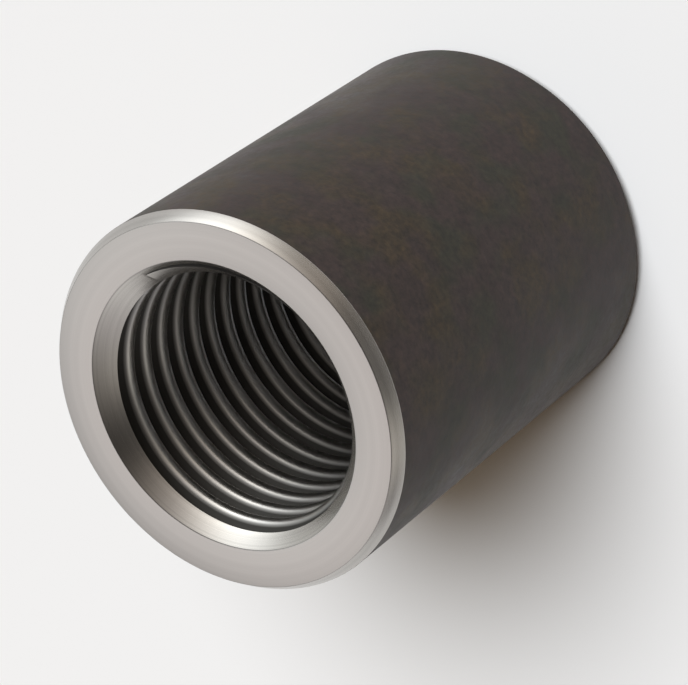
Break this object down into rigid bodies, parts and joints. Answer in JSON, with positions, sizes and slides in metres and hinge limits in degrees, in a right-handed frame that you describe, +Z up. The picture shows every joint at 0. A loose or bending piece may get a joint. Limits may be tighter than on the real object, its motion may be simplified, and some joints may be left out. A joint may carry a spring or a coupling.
{
  "type": "rebar coupler",
  "caption": "Round steel sleeve with a coarse right-hand thread right through its bore and a countersink at each end, for joining threaded bars end to end.",
  "frame": {"origin": "centre of the bottom end face", "axes": "+Z up along the bore axis, with the sleeve standing on its end"},
  "size_m": [0.049, 0.049, 0.06],
  "materials": {
    "steel": "dark scaled outside, satin turned end faces, clean cut thread"
  },
  "bodies": {
    "root": {"coupler": "steel"}
  },
  "joints": []
}
